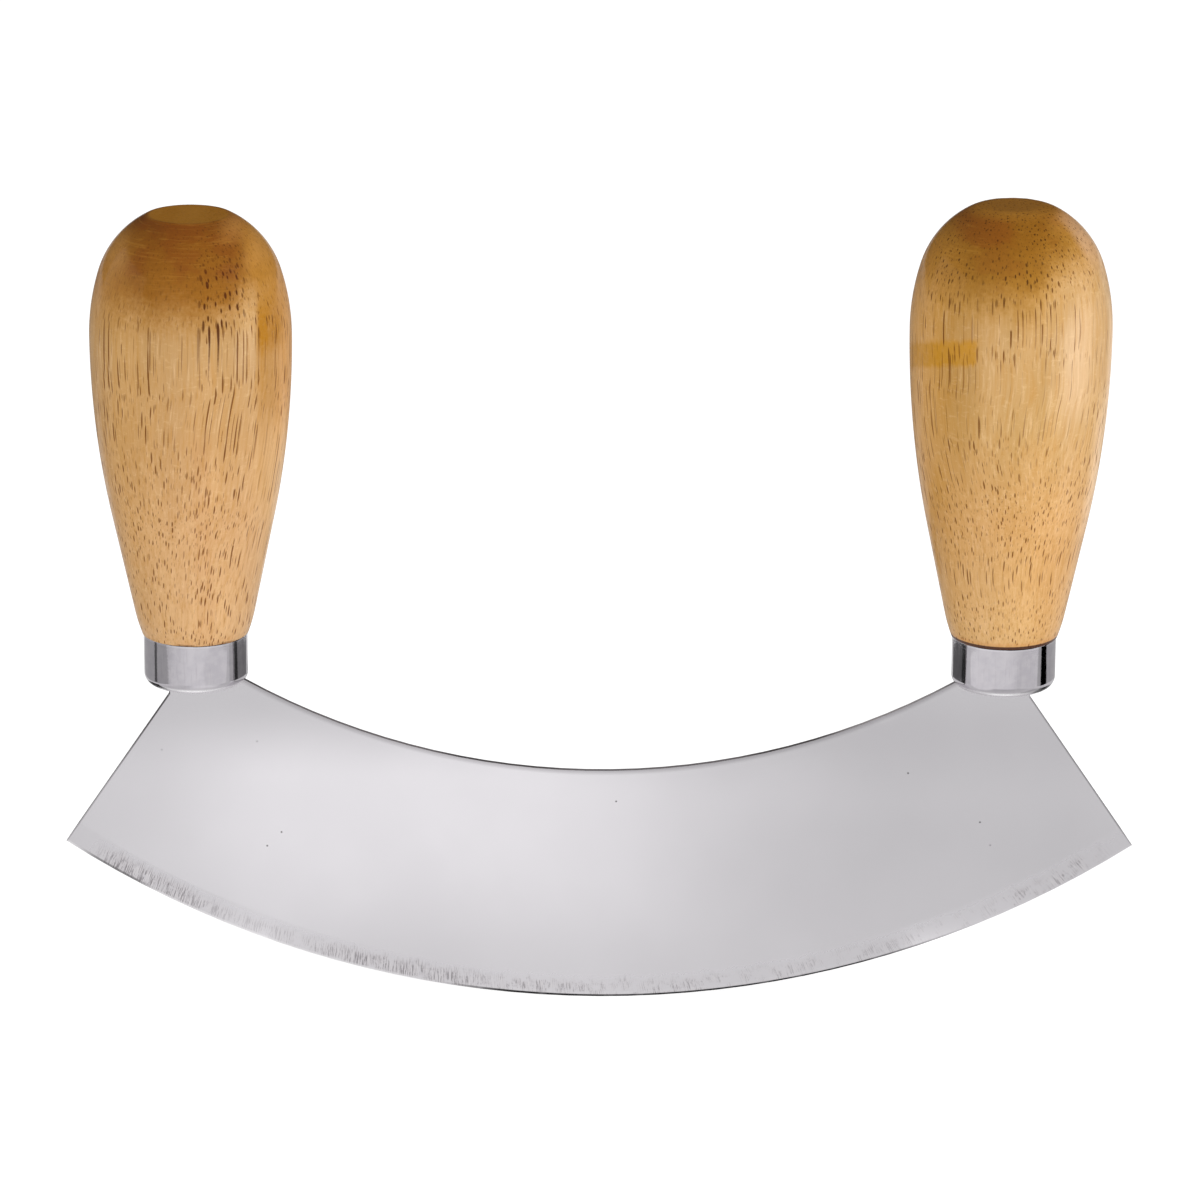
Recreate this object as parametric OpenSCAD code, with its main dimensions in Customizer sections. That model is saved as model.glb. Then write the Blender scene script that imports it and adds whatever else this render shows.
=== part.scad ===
// Mezzaluna: a crescent chopping blade carried between two upright turned handles.
// The blade stands in the XZ plane, with its length along X and its thickness along Y.
// The origin is the lowest point of the cutting edge, in the middle of the plate.

/* [Blade] */
// Length of the blade from tip to tip
blade_length = 220; // [190:1:250]
// Radius of the cutting edge
edge_radius = 196; // [175:1:240]
// Depth of the blade, from the cutting edge to the upper arc
blade_depth = 49.6; // [42:0.1:60]
// Thickness of the steel plate
blade_thickness = 1.2; // [0.8:0.1:2]
// Height of the band ground on each side along the cutting edge
bevel_height = 5; // [2:0.5:10]
// Thickness left at the cutting edge after grinding
edge_land = 0.15; // [0.1:0.05:0.3]

/* [Neck and tang] */
// Distance along the blade from each tip to the axis of its handle
handle_inset = 27.4; // [22:0.1:32]
// How far the neck reaches outwards from the axis of the handle
neck_reach = 5.6; // [5:0.1:9]
// How far above the seat the upper arc meets the rounded bottom edge of the ferrule
arc_rise = 0.44; // [0.2:0.02:1]
// Width of the tang
tang_width = 8; // [6:0.5:9.5]
// Length of the tang above its seat
tang_length = 48; // [30:1:60]
// Length of the pointed end of the tang
tang_point = 7; // [3:0.5:12]
// Width left at the tip of the tang
tang_tip_width = 2; // [1:0.5:4]

/* [Ferrule] */
// Outside diameter of the ferrule
ferrule_d = 21.2; // [19:0.1:21.5]
// Height of the ferrule
ferrule_height = 10.7; // [8:0.1:14]
// Thickness of the sheet that the ferrule is drawn from
ferrule_wall = 0.7; // [0.5:0.05:1]
// Radius of the ferrule's outer bottom edge
ferrule_edge = 2.2; // [1.2:0.1:3]
// Radius of the ferrule's outer top edge
rim_round = 0.25; // [0.1:0.05:0.4]

/* [Handle] */
// Length of the left handle above its ferrule
left_handle_length = 87.4; // [78:0.1:110]
// Length of the right handle above its ferrule
right_handle_length = 90; // [78:0.1:110]
// Diameter of the wood where it meets the ferrule
handle_foot_d = 21.7; // [21.5:0.1:23]
// Largest diameter of the handle
belly_d = 40.8; // [36:0.1:45]
// Angle between the handle's straight flank and its axis, in degrees
flank_angle = 11.9; // [10:0.1:15]
// Radius of the arc from the widest point up to the dome
shoulder_arc = 45; // [30:1:120]
// How much smaller the dome's radius is than the belly's
dome_inset = 1.16; // [0.2:0.02:2]
// Diameter of the flat on the end of the left handle
left_end_flat_d = 16.8; // [10:0.1:24]
// Diameter of the flat on the end of the right handle
right_end_flat_d = 13.9; // [10:0.1:24]
// Radius of the arc by which the flank turns in towards the ferrule
foot_arc = 35; // [15:1:60]
// Angle between the outline and the axis where the wood meets the ferrule, in degrees
foot_angle = 20.3; // [16:0.1:30]

/* [Fits] */
// Gap between the upper edge of the blade and the rounded bottom edge of the ferrule
edge_clearance = 0.05; // [0.02:0.01:0.1]
// Gap between the tang and the slot in the ferrule, on each side
slot_clearance = 0.15; // [0.05:0.05:0.3]
// Gap between the corners of the tang and the drilled hole
hole_clearance = 0.1; // [0.05:0.05:0.3]
// Depth of the drilled hole past the point of the tang
hole_spare = 2; // [1:0.5:6]
// Gap between the spigot and the wall of the ferrule
spigot_clearance = 0.05; // [0.02:0.01:0.2]
// Gap between the end of the spigot and the floor of the ferrule
spigot_gap = 0.5; // [0.2:0.1:1.5]

/* [Hidden] */

// Sides of a full circle, and the margin by which a cutter passes what it cuts
$fn = 144;
margin = 1;

// The cutting edge and the upper arc share one centre, above the blade on its middle line
arc_centre_z = edge_radius;
spine_radius = edge_radius - blade_depth;
half_angle = asin(blade_length / 2 / edge_radius);

// Distance from the middle of the blade to the axis of each handle
handle_offset = blade_length / 2 - handle_inset;

// The seat's height lets the upper arc run into the rounded bottom edge of the ferrule
ferrule_r = ferrule_d / 2;
meeting_x = handle_offset - ferrule_r + ferrule_edge - sqrt(arc_rise * (2 * ferrule_edge - arc_rise));
seat_z = arc_centre_z - sqrt(pow(spine_radius, 2) - pow(meeting_x, 2)) - arc_rise;

// How far the neck's outline is drawn down into the crescent
neck_depth = 10;

// The wood starts on the rim of the ferrule
foot_z = seat_z + ferrule_height;
foot_r = handle_foot_d / 2;
belly_r = belly_d / 2;
dome_r = belly_r - dome_inset;
spigot_r = ferrule_r - ferrule_wall - spigot_clearance;
spigot_length = ferrule_height - ferrule_wall - spigot_gap;

// The bevel on the spigot's end clears the rounding inside the cup
spigot_bevel = ferrule_edge - ferrule_wall;
hole_r = norm([tang_width, blade_thickness]) / 2 + hole_clearance;
hole_depth = tang_length - ferrule_height + hole_spare;

LEFT = -1;
RIGHT = 1;

steel = [0.80, 0.80, 0.81];
chrome = [0.72, 0.71, 0.72];
rubberwood = [0.85, 0.66, 0.40];

// A point at a distance and an angle from a centre
function polar(centre, r, a) = centre + r * [cos(a), sin(a)];

// A slice of a disc between two angles less than 120 degrees apart
module pie(centre, r, from, to) {
    reach = 2 * r;
    intersection() {
        translate(centre) circle(r);
        polygon([centre, polar(centre, reach, from), polar(centre, reach, (from + to) / 2),
                 polar(centre, reach, to)]);
    }
}

// A plate in the XZ plane, cut from an outline drawn in X and Z
module upright(thickness) {
    rotate([90, 0, 0]) linear_extrude(thickness, center = true) children();
}

// Outline of the crescent: a wedge from the arcs' centre, less the disc above the upper arc
// and the room for both ferrules, cut off where the arc meets them
module crescent_outline() {
    reach = (edge_radius + margin) / cos(half_angle);
    centre = [0, arc_centre_z];
    difference() {
        polygon([centre, polar(centre, reach, -90 - half_angle), polar(centre, reach, -90 + half_angle)]);
        translate(centre) circle(spine_radius);
        translate([-edge_radius, seat_z + arc_rise]) square([2 * edge_radius, edge_radius]);
        for (side = [LEFT, RIGHT], half = [0, 1])
            translate([side * handle_offset, 0]) mirror([half, 0])
                cup_section(ferrule_r + edge_clearance, seat_z, foot_z, ferrule_edge, 0);
    }
}

// Outline of the neck with its flat seat, and of the tang that stands on it
module tang_outline(side) {
    tang_half = tang_width / 2;
    tip_half = tang_tip_width / 2;
    mirror([side == LEFT ? 1 : 0, 0]) {
        translate([handle_offset - tang_half, seat_z - neck_depth])
            square([tang_half + neck_reach, neck_depth]);
        translate([handle_offset, seat_z])
            polygon([[-tang_half, -neck_depth / 2], [tang_half, -neck_depth / 2],
                     [tang_half, tang_length - tang_point], [tip_half, tang_length],
                     [-tip_half, tang_length], [-tang_half, tang_length - tang_point]]);
    }
}

// A disc as thick as the plate, ground from both sides towards its rim
module ground_disc() {
    half = blade_thickness / 2;
    land = edge_land / 2;
    shoulder = edge_radius - bevel_height;
    translate([0, 0, arc_centre_z]) rotate([90, 0, 0]) rotate_extrude()
        polygon([[0, -half], [shoulder, -half], [edge_radius, -land],
                 [edge_radius, land], [shoulder, half], [0, half]]);
}

module blade() {
    color(steel) intersection() {
        ground_disc();
        upright(blade_thickness + 2 * margin) {
            crescent_outline();
            for (side = [LEFT, RIGHT]) tang_outline(side);
        }
    }
}

// Half section of a straight-sided cup with a rounded foot, from its axis outwards
module cup_section(r, bottom, top, edge, rim) {
    translate([0, bottom + edge]) square([r - rim, top - bottom - edge]);
    translate([0, bottom + edge]) square([r, top - bottom - edge - rim]);
    translate([0, bottom]) square([r - edge, edge]);
    pie([r - edge, bottom + edge], edge, -90, 0);
    if (rim > 0) pie([r - rim, top - rim], rim, 0, 90);
}

// Drawn cup with a slot in its floor for the tang, standing on the seat of the blade
module ferrule(side) {
    slot = [tang_width + 2 * slot_clearance, blade_thickness + 2 * slot_clearance,
            2 * ferrule_wall + 2 * margin];
    color(chrome) translate([side * handle_offset, 0, seat_z]) difference() {
        rotate_extrude() difference() {
            cup_section(ferrule_r, 0, ferrule_height, ferrule_edge, rim_round);
            cup_section(ferrule_r - ferrule_wall, ferrule_wall, ferrule_height + margin,
                        ferrule_edge - ferrule_wall, 0);
        }
        cube(slot, center = true);
    }
}

// Half section of the grip, standing on Z = 0: an arc out of the ferrule, a straight flank,
// an arc up to the belly, a second arc above it, and a dome cut off by the end flat. Each
// stretch meets the next with a common tangent.
module grip_section(length, flat_d) {
    flat_r = flat_d / 2;

    // The dome's centre lies on the axis, and the shoulder arc touches the dome from outside
    dome_z = length - sqrt(pow(dome_r, 2) - pow(flat_r, 2));
    shoulder_x = belly_r - shoulder_arc;
    belly_z = dome_z - sqrt(pow(shoulder_arc - dome_r, 2) - pow(shoulder_x, 2));
    dome_start = atan2(dome_z - belly_z, -shoulder_x);
    dome_end = acos(flat_r / dome_r);

    // The arc at the foot turns from its own angle to that of the flank
    foot_centre = polar([foot_r, 0], -foot_arc, -foot_angle);
    flank_start = polar(foot_centre, foot_arc, -flank_angle);

    // The flank's height makes it touch an arc that stands upright at the belly
    half_turn = tan(flank_angle / 2);
    flank_line_r = flank_start.x - flank_start.y * tan(flank_angle);
    flank_z = (belly_r - flank_line_r - belly_z * half_turn) / (tan(flank_angle) - half_turn);
    flank_arc = (belly_z - flank_z) / sin(flank_angle);
    flank_centre = [belly_r - flank_arc, belly_z];

    intersection() {
        union() {
            polygon([[0, 0], [foot_r, 0], flank_start,
                     polar(flank_centre, flank_arc, -flank_angle), [belly_r, belly_z],
                     polar([0, dome_z], dome_r, dome_start), [flat_r, length], [0, length]]);
            pie(foot_centre, foot_arc, -foot_angle, -flank_angle);
            pie(flank_centre, flank_arc, -flank_angle, 0);
            pie([shoulder_x, belly_z], shoulder_arc, 0, dome_start);
            pie([0, dome_z], dome_r, dome_start, dome_end);
        }
        square([belly_r + margin, length]);
    }
}

// Turned handle: its foot rests on the rim of the ferrule, its spigot fills the cup, and a
// blind hole drilled up from the end of the spigot takes the tang
module handle(side, length, flat_d) {
    color(rubberwood) translate([side * handle_offset, 0, foot_z]) difference() {
        union() {
            rotate_extrude() grip_section(length, flat_d);
            translate([0, 0, -spigot_length])
                cylinder(r1 = spigot_r - spigot_bevel, r2 = spigot_r, h = spigot_bevel);
            translate([0, 0, spigot_bevel - spigot_length])
                cylinder(r = spigot_r, h = spigot_length - spigot_bevel + margin);
        }
        translate([0, 0, -spigot_length - margin])
            cylinder(r = hole_r, h = spigot_length + margin + hole_depth);
    }
}

module left_ferrule() {
    ferrule(LEFT);
}

module right_ferrule() {
    ferrule(RIGHT);
}

module left_handle() {
    handle(LEFT, left_handle_length, left_end_flat_d);
}

module right_handle() {
    handle(RIGHT, right_handle_length, right_end_flat_d);
}

blade();
left_ferrule();
right_ferrule();
left_handle();
right_handle();
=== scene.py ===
"""Looks of the mezzaluna: camera, studio, turned handles and the materials of every piece."""

from math import asin, atan2, cos, pi, radians, sin, sqrt, tan
from types import SimpleNamespace

import bpy
from mathutils import Matrix, Vector
from mathutils import noise as mnoise

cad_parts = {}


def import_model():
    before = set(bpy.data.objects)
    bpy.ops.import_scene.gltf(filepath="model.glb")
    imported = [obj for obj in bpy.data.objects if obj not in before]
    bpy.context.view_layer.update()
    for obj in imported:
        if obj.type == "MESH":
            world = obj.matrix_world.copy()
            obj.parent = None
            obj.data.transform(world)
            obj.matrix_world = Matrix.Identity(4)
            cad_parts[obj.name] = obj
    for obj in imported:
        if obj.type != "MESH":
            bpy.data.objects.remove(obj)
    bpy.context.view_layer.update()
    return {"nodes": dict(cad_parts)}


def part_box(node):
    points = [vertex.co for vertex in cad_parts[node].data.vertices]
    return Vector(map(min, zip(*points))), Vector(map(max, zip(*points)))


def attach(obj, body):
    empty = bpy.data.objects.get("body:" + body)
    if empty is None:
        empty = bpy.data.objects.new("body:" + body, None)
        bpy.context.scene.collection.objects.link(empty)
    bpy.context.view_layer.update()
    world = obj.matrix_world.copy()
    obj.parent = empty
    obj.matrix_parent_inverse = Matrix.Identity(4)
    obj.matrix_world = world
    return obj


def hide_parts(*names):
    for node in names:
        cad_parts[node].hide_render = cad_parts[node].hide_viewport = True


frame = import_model()
nodes = frame["nodes"]

MM = 0.001

# Measures of the source, in mm
LEFT, RIGHT = -1, 1
EDGE_RADIUS = 196.0
SPINE_RADIUS = EDGE_RADIUS - 49.6
BEVEL_HEIGHT = 5.0
HANDLE_OFFSET = 82.6
FERRULE_HEIGHT = 10.7
FOOT_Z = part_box("left_ferrule")[1].z / MM
FOOT_R = 10.85
BELLY_R = 20.4
DOME_R = BELLY_R - 1.16
FLANK = radians(11.9)
SHOULDER_ARC = 45.0
FOOT_ARC = 35.0
FOOT_ANGLE = radians(20.3)
SPIGOT_R = 9.85
SPIGOT_LENGTH = 9.5
SPIGOT_BEVEL = 1.5
HOLE_R = 4.145
HOLE_DEPTH = 39.3
END_ANGLE = asin(110.0 / EDGE_RADIUS)
NECK_X, NECK_Z = 88.2, 65.95
# node, side, length above the ferrule, radius of the end flat, rounding of its edge, seed
HANDLES = (("left_handle", LEFT, 87.4, 8.4, 1.5, 1.0), ("right_handle", RIGHT, 90.0, 6.95, 9.0, 2.0))
FERRULES = ((LEFT, "left_ferrule", 1.0), (RIGHT, "right_ferrule", 2.0))

# The photograph's camera: angles in degrees, lens, sensor and target in mm, the rest in m
ELEVATION, YAW, ROLL = 17.086, 0.204, 0.184
LENS, SENSOR = 188.07, 36.0
TARGET = (0.04, 0.0, 86.19)
CAMERA_DISTANCE = 1.27895
CLIP = (0.05, 50.0)

# The steps of the turned outline, stretch by stretch, and round the handle
FLAT_STEPS, WORN_STEPS, DOME_STEPS, SHOULDER_STEPS = 12, 8, 70, 16
BELLY_STEPS, FLANK_STEPS, FOOT_STEPS = 24, 12, 16
SEGMENTS = 256
SHARP_ANGLE = radians(28)
# Tool rings: depth and how far below the end they fade out, in mm, and waves round and up the handle
RING_DEPTH, RING_REACH = 0.012, 26.0
RING_WAVES_ROUND, RING_WAVES_UP = 1.6, 2.4
# The uneven edge of the end flat: height of its waves, and how far outwards and down they go, in mm
EDGE_WAVE = {LEFT: 0.05, RIGHT: 0.22}
EDGE_WAVES_ROUND, EDGE_WIDTH, EDGE_DROP = 3, 0.9, 0.4

# Wood by distance in mm below the end of the handle, sRGB: tan all the way down, brown on the dome
TAN_SPAN, DOME_SPAN = 90.0, 30.0
TAN_TONES = {
    LEFT: [(22.0, (187, 147, 95)), (42.0, (193, 149, 96)), (62.0, (206, 160, 110)),
           (86.0, (210, 166, 117))],
    RIGHT: [(22.0, (180, 142, 88)), (42.0, (188, 148, 88)), (62.0, (204, 155, 94)),
            (86.0, (212, 168, 110))]}
DOME_TONES = {
    LEFT: [(0.0, (122, 68, 18)), (3.0, (134, 82, 20)), (12.0, (146, 93, 24)), (18.0, (168, 116, 46)),
           (30.0, (190, 142, 80))],
    RIGHT: [(0.0, (140, 92, 24)), (3.0, (136, 88, 20)), (10.0, (150, 102, 30)), (18.0, (176, 128, 54)),
            (30.0, (196, 150, 86))]}
STAIN_TONES = {LEFT: (172, 114, 14), RIGHT: (188, 131, 14)}
FLAT_TONES = {LEFT: (172, 114, 26), RIGHT: (152, 102, 31)}
# Painted shade and light on the handles' sides: shade to the left, light in the rims, and low on the flank
# painted light on the left handle but painted shade on the right one
SHADED_TONES = {LEFT: (192, 140, 56), RIGHT: (186, 131, 36)}
WARM_RIM_LIGHT_TONES = {LEFT: (250, 174, 86), RIGHT: (246, 186, 110)}
LOW_FLANK_LIGHT_AND_SHADE_TONES = {LEFT: (255, 210, 152), RIGHT: (196, 142, 76)}
# Painted highlights of the right handle: its pale stripe, bright rim and pale shoulder; and painted light
# in the left dome's pale corners
STRIPE_HIGHLIGHT_TONE, RIM_HIGHLIGHT_TONE = (255, 220, 184), (255, 220, 180)
SHOULDER_HIGHLIGHT_TONE, CORNER_LIGHT_TONE = (232, 194, 162), (226, 172, 104)
FIBRE_DARK, FIBRE_PALE, FIBRE_ON_DOME = (184, 128, 42), (238, 200, 154), (104, 62, 14)
FIGURE_TONE, BROAD_TONE = (240, 206, 154), (240, 192, 134)
# Reddish patches of the wood; painted light on the dome's flanks and a painted highlight high on its right
RED_TONE, DOME_SIDE_LIGHT_TONE, DOME_RIGHT_HIGHLIGHT_TONE = (128, 68, 18), (196, 140, 56), (200, 142, 70)
VESSEL_ON_DOME, VESSEL_TONE, OPEN_PORE_TONE = (64, 32, 3), (106, 56, 2), (80, 36, 4)
ROW_TONE, LONG_PORE_TONE = (176, 118, 60), (112, 60, 4)
RING_TONE, SEAM_WARMTH, SEAM_TONE = (196, 142, 58), (196, 120, 46), (58, 22, 10)

# Steel and chrome, sRGB
# Painted highlight in silver, and painted shade in the dark line along the cutting edge
BLACK, HIGHLIGHT_SILVER, EDGE_SHADE_TONE = (0, 0, 0), (254, 252, 254), (26, 24, 26)
# Painted shade along the arrises and under the lip of the upper arc; dark pits
ARRIS_SHADE_TONE, PIT_TONE, LIP_SHADE_TONE = (64, 60, 62), (80, 74, 74), (120, 115, 118)
MARK_HAZE, DARK_MARK, BRIGHT_MARK = (224, 218, 221), (124, 118, 123), (254, 251, 252)
CLOUD_TONES = ((240, 237, 241), (236, 233, 237))
# Tones of the plate's sheared edge: dark, paler and palest
SHEARED_TONE, PALER_EDGE_TONE, PALEST_TONE = (84, 80, 82), (124, 119, 122), (178, 174, 176)
PLATING_TONES = ((197, 193, 199), (204, 200, 205))
# Draw lines, and the painted highlight round the ferrule's rim
DRAW_LINE_TONE, FERRULE_RIM_HIGHLIGHT_TONE = (176, 170, 177), (224, 221, 226)
# How thick the cross marks lie along the edge: mm from the middle along the arc, and a share
MARKS = ((-112.0, 0.0), (-106.0, 1.0), (-92.0, 1.0), (-80.0, 0.35), (-64.0, 0.4), (-52.0, 0.9),
         (-44.0, 1.0), (-10.0, 0.8), (30.0, 0.6), (56.0, 0.45), (84.0, 0.35), (92.0, 0.8), (106.0, 0.8),
         (112.0, 0.1))
MARK_HALF_SPAN = 120.0
MARK_REACH = BEVEL_HEIGHT - 1.5
# Pits in the face of the blade: X, Z and depth of tone
PITS = ((-65.5, 36.0, 0.75), (-68.5, 33.0, 0.75), (3.5, 43.0, 0.75), (63.5, 49.4, 0.75), (78.5, 38.8, 0.75),
        (-89.9, 53.8, 0.3), (-70.3, 55.7, 0.3), (80.7, 33.8, 0.35))


# Camera
def make_camera():
    """The photograph's view: 17 degrees above the table from 1.28 m."""
    elevation, yaw, roll = radians(ELEVATION), radians(YAW), radians(ROLL)
    target = Vector(TARGET) * MM
    back = Vector((sin(yaw) * cos(elevation), -cos(yaw) * cos(elevation), sin(elevation)))
    right = Vector((cos(yaw), sin(yaw), 0.0))
    up = back.cross(right)
    side = right * cos(roll) + up * sin(roll)
    top = up * cos(roll) - right * sin(roll)
    data = bpy.data.cameras.new("camera")
    data.lens, data.sensor_width = LENS, SENSOR
    data.clip_start, data.clip_end = CLIP
    camera = bpy.data.objects.new("camera", data)
    bpy.context.scene.collection.objects.link(camera)
    place = Matrix((side, top, back)).transposed().to_4x4()
    place.translation = target + back * CAMERA_DISTANCE
    camera.matrix_world = place
    bpy.context.scene.camera = camera


make_camera()
bpy.context.scene.view_settings.view_transform = "Standard"


# Node helpers
def linear(r, g, b):
    """An sRGB colour in 0 to 255 as the linear colour that a socket takes."""
    def one(v):
        v /= 255.0
        return v / 12.92 if v <= 0.04045 else ((v + 0.055) / 1.055) ** 2.4
    return (one(r), one(g), one(b), 1.0)


def grey(share):
    """A linear grey for a socket."""
    return (share, share, share, 1.0)


class Graph:
    """Short calls for building a node tree."""

    def __init__(self, tree):
        self.tree = tree

    def put(self, socket, value):
        if isinstance(value, bpy.types.NodeSocket):
            self.tree.links.new(value, socket)
        else:
            socket.default_value = value

    def node(self, kind, sockets=(), **settings):
        made = self.tree.nodes.new(kind)
        for key, value in settings.items():
            setattr(made, key, value)
        for key, value in dict(sockets).items():
            self.put(made.inputs[key], value)
        return made

    def math(self, operation, a, b=None, clamp=False):
        made = self.node("ShaderNodeMath", {0: a}, operation=operation, use_clamp=clamp)
        if b is not None:
            self.put(made.inputs[1], b)
        return made.outputs[0]

    def add(self, a, b):
        return self.math("ADD", a, b)

    def sub(self, a, b):
        return self.math("SUBTRACT", a, b)

    def mul(self, first, *others):
        """The product of two or more values."""
        for other in others:
            first = self.math("MULTIPLY", first, other)
        return first

    def most(self, a, b):
        """The larger of two values."""
        return self.math("MAXIMUM", a, b)

    def square(self, a):
        return self.math("POWER", a, 2.0)

    def away(self, value, centre=0.0):
        """How far a value lies from a centre, on either side."""
        return self.math("ABSOLUTE", self.sub(value, centre) if centre else value)

    def distance(self, a, b):
        """The length of two legs at a right angle."""
        return self.math("SQRT", self.add(self.mul(a, a), self.mul(b, b)))

    def front_angle(self, x, y):
        """The angle round an upright axis, from the front towards the right, in radians."""
        return self.math("ARCTAN2", x, self.mul(y, -1.0))

    def sway(self, noise, span):
        """Noise of 0 to 1 as a shift of up to half the span either way."""
        return self.mul(self.sub(noise, 0.5), span)

    def step(self, value, low, high, out_low=0.0, out_high=1.0):
        """A smooth step from low to high, which may run either way, and the values at its two ends."""
        limits = {"From Min": low, "From Max": high, "To Min": out_low, "To Max": out_high}
        made = self.node("ShaderNodeMapRange", {"Value": value, **limits},
                         interpolation_type="SMOOTHSTEP", clamp=True)
        return made.outputs["Result"]

    def mix(self, factor, a, b):
        return self.node("ShaderNodeMix", {0: factor, 6: a, 7: b}, data_type="RGBA").outputs[2]

    def tint(self, base, tone, *factors):
        """The base drawn towards a tone, an sRGB colour or a socket, by the product of the factors."""
        tone = tone if isinstance(tone, bpy.types.NodeSocket) else linear(*tone)
        return self.mix(self.mul(*factors), base, tone)

    def vector(self, x, y, z):
        return self.node("ShaderNodeCombineXYZ", {0: x, 1: y, 2: z}).outputs[0]

    def split(self, vector):
        return self.node("ShaderNodeSeparateXYZ", {0: vector}).outputs[:3]

    def noise(self, vector, scale=1.0, detail=2.0, rough=0.5, distort=0.0, output=0):
        made = self.node("ShaderNodeTexNoise",
                         {"Vector": vector, "Scale": scale, "Detail": detail, "Roughness": rough,
                          "Distortion": distort}, noise_dimensions="3D")
        return made.outputs[output]

    def drawn_noise(self, x, y, z, across, along, shift, **settings):
        """Noise with one scale across the grain and another along it."""
        place = self.vector(self.add(self.mul(x, across), shift), self.mul(y, across), self.mul(z, along))
        return self.noise(place, **settings)

    def ramp(self, factor, stops):
        made = self.node("ShaderNodeValToRGB", {0: factor})
        band = made.color_ramp
        while len(band.elements) < len(stops):
            band.elements.new(0.5)
        for element, (place, colour) in zip(band.elements, stops):
            element.position = place
            element.color = colour
        return made.outputs[0]

    def tones(self, distance, span, stops):
        """Colours by distance: each stop is a distance within the span and an sRGB colour."""
        share = self.math("DIVIDE", distance, span, clamp=True)
        return self.ramp(share, [(at / span, linear(*rgb)) for at, rgb in stops])

    def bump(self, height, distance, strength):
        made = self.node("ShaderNodeBump", {"Height": height, "Distance": distance, "Strength": strength})
        return made.outputs[0]

    def millimetres(self, x=0.0, y=0.0, z=0.0):
        """Object coordinates in mm, counted from a point."""
        place = self.node("ShaderNodeTexCoord").outputs["Object"]
        scaled = self.node("ShaderNodeVectorMath", {0: place, 3: 1 / MM}, operation="SCALE").outputs[0]
        return self.node("ShaderNodeVectorMath", {0: scaled, 1: (x, y, z)}, operation="SUBTRACT").outputs[0]


def new_material(name):
    material = bpy.data.materials.new(name)
    material.use_nodes = True
    graph = Graph(material.node_tree)
    shader = next(n for n in material.node_tree.nodes if n.type == "BSDF_PRINCIPLED")
    return material, graph, shader


def bare_material(name):
    """A material with an empty tree, for the table and the cards."""
    material = bpy.data.materials.new(name)
    material.use_nodes = True
    material.node_tree.nodes.clear()
    return material, Graph(material.node_tree)


# Wood
def grip_places(g, side, length, seed):
    """Where a point of a handle lies, in mm and radians, and the textures that several looks share."""
    x, y, z = g.split(g.millimetres(side * HANDLE_OFFSET, 0.0, 0.0))
    below = g.sub(FOOT_Z + length, z)

    # Each handle reads the noises in another place
    shift = seed * 37.0

    # The grain wanders a little and spreads upwards as far as the belly
    drift = g.noise(g.vector(shift, 3.0, g.mul(z, 0.03)), detail=2.0, output=1)
    dx, dy, _ = g.split(drift)
    fan_z = FOOT_Z + 50.0
    rise = g.math("MINIMUM", g.sub(z, fan_z), 5.0)
    lean, spread = (0.10, 0.006) if side == LEFT else (0.0, 0.010)
    gx = g.sub(x, g.mul(rise, g.add(g.mul(x, spread), lean)))
    gx = g.add(gx, g.sway(dx, 5.0))
    gy = g.add(y, g.sway(dy, 5.0))
    if side == RIGHT:
        gy = g.sub(gy, g.mul(g.sub(z, fan_z), 0.07))

    # Fibres, soft patches, fine mottling, and the depth below the end, made ragged, for the dome's finish
    fibre = g.drawn_noise(gx, gy, z, 1.7, 0.09, shift, detail=5.0, rough=0.7)
    patch = g.drawn_noise(x, y, z, 0.10, 0.10, shift, detail=3.0)
    fine = g.drawn_noise(x, y, z, 0.9, 1.2, shift, detail=4.0, rough=0.6)
    depth = g.add(below, g.sway(patch, 6.0))
    depth = g.add(depth, g.sway(fine, 6.0))
    depth = g.add(depth, g.step(x, 8.5, 14.0, 0.0, 5.0) if side == LEFT else g.step(x, 2.0, 11.0, 0.0, 8.0))
    return SimpleNamespace(x=x, y=y, z=z, below=below, turn=g.front_angle(x, y), shift=shift,
                           gx=gx, gy=gy, dx=dx, fibre=fibre, patch=patch, fine=fine, depth=depth)


def right_painted_highlight(g, at):
    """The painted highlight down the right side of the right handle: strong at the belly, weaker below it,
    and faded out towards the back."""
    turn, below = at.turn, at.below
    upper = g.mul(g.mul(g.step(turn, 1.12, 1.35, 0.0, 0.90), g.step(below, 58.0, 36.0, 0.25, 1.0)),
                  g.mul(g.step(below, 66.0, 54.0, 0.3, 1.0), g.step(below, 15.0, 29.0, 0.25, 1.0)))
    lower = g.mul(g.step(below, 34.0, 46.0), g.step(below, 90.0, 60.0),
                  g.step(turn, 0.92, 1.14, 0.0, 0.52), g.step(turn, 1.20, 1.35, 1.0, 0.6))
    return g.mul(g.most(upper, lower), g.step(turn, 2.3, 1.57, 0.2, 1.0))


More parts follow.
